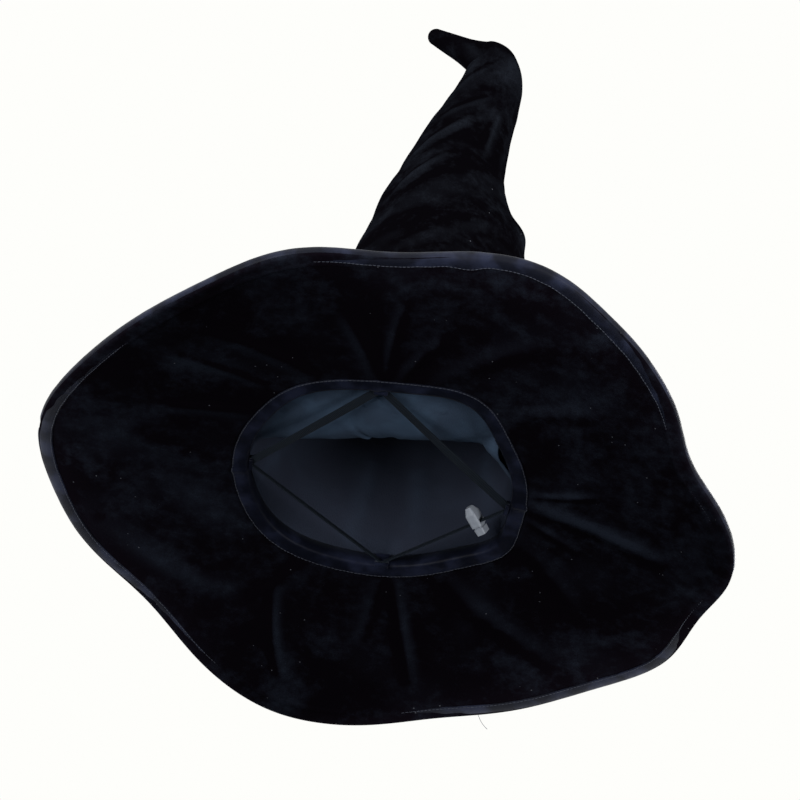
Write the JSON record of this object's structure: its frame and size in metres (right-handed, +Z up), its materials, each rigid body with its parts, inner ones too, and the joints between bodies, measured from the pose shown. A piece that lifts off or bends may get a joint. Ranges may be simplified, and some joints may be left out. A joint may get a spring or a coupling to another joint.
{
  "type": "witch hat",
  "caption": "Velvet witch hat with a tall floppy pointed crown, wired wavy brim, lined head opening and elastic size adjuster.",
  "frame": {"origin": "on the surface the hat stands on, below the middle of the brim's box", "axes": "+Z up along the crown, +X to the wearer's one side, -Y towards the side whose lining sags; the tip folds to -X"},
  "size_m": [0.447, 0.4271, 0.4202],
  "materials": {
    "velvet": "crushed black pile",
    "velvet_underside": "black pile",
    "interlining": "non-woven stiffener",
    "binding_tape": "dark navy satin tape",
    "lining": "brushed slate blue",
    "elastic": "ribbed flat elastic",
    "thread": "sewing thread",
    "wire": "millinery wire",
    "white_plastic": "moulded, slightly blue white"
  },
  "bodies": {
    "hat": {"brim_underside_velvet": "velvet_underside", "brim_interlining": "interlining", "brim_top_velvet": "velvet", "brim_binding": "binding_tape", "brim_wire": "wire", "brim_wire_ferrule": "wire", "head_binding": "binding_tape", "crown_velvet": "velvet", "crown_lining": "lining", "lining_sag": "lining", "elastic_near": "elastic", "elastic_far": "elastic", "elastic_tacks": "thread"},
    "tip": {"crown_tip": "velvet"},
    "lock": {"cord_lock_body": "white_plastic"},
    "plunger": {"cord_lock_plunger": "white_plastic"}
  },
  "joints": [
    {"name": "tip_fold", "type": "hinge", "parent": "hat", "child": "tip", "pos_m": [0.021, -0.033, 0.40031], "axis": [0, -1, 0], "range_deg": [-35, 10]},
    {"name": "cord_lock_slide", "type": "slide", "parent": "hat", "child": "lock", "axis": [-0.7179, 0.6962, 0], "range_m": [0, 0.048]},
    {"name": "plunger_press", "type": "slide", "parent": "lock", "child": "plunger", "axis": [-0.6309, -0.6506, 0.4226], "range_m": [0, 0.0014], "stiffness_N_per_m": 500, "springref_m": -0.002}
  ]
}
